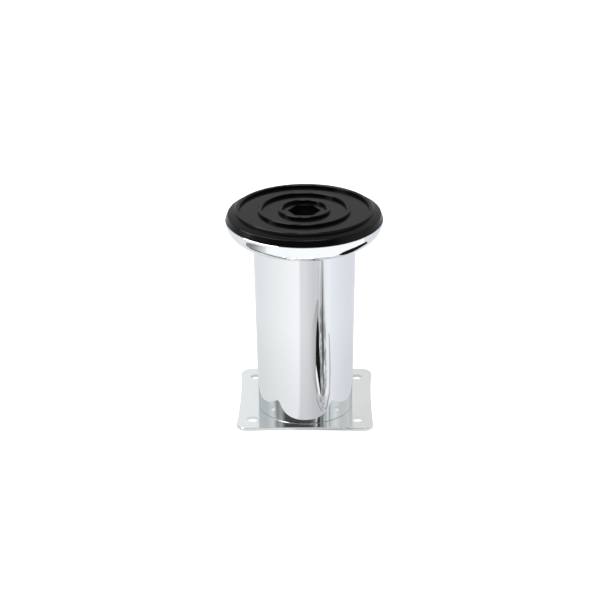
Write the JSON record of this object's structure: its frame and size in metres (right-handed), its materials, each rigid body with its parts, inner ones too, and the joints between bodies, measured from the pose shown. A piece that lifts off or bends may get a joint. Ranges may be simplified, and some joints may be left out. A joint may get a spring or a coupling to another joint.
{
  "type": "furniture leg",
  "caption": "Short round chrome furniture leg with a square screw plate at one end and a wide screw-adjusted foot with a ribbed black floor pad at the other.",
  "frame": {"origin": "the point of the tube's axis at the level of the mounting plate's underside", "axes": "+Z along the tube's axis, from the mounting plate to the foot; X and Y along the plate's sides, +Y to the side on which the plate reaches further"},
  "size_m": [0.075, 0.0756, 0.1043],
  "materials": {
    "chrome": "bright mirror chrome plating",
    "plate_steel": "semi-bright plated sheet steel",
    "pad_plastic": "satin black moulded plastic",
    "plug_plastic": "matt black moulded plastic",
    "fastener_steel": "zinc-plated steel"
  },
  "bodies": {
    "leg": {"mounting_plate": "plate_steel", "leg_tube": "chrome", "tube_plug": "plug_plastic", "insert_nut": "fastener_steel"},
    "foot_rise": {"washer": "fastener_steel"},
    "foot": {"foot_cup": "chrome", "floor_pad": "pad_plastic", "adjuster_bolt": "fastener_steel", "lock_nut": "fastener_steel"}
  },
  "joints": [
    {"name": "foot_slide", "type": "slide", "parent": "leg", "child": "foot_rise", "axis": [0, 0, 1], "range_m": [0, 0.01]},
    {"name": "foot_turn", "type": "hinge", "parent": "foot_rise", "child": "foot", "pos_m": [0, 0, 0.0889], "axis": [0, 0, 1], "range_deg": [0, 2880]}
  ],
  "couplings": [
    {"joint": "foot_slide", "follows": "foot_turn", "m_per_rad": 0.00019894}
  ]
}
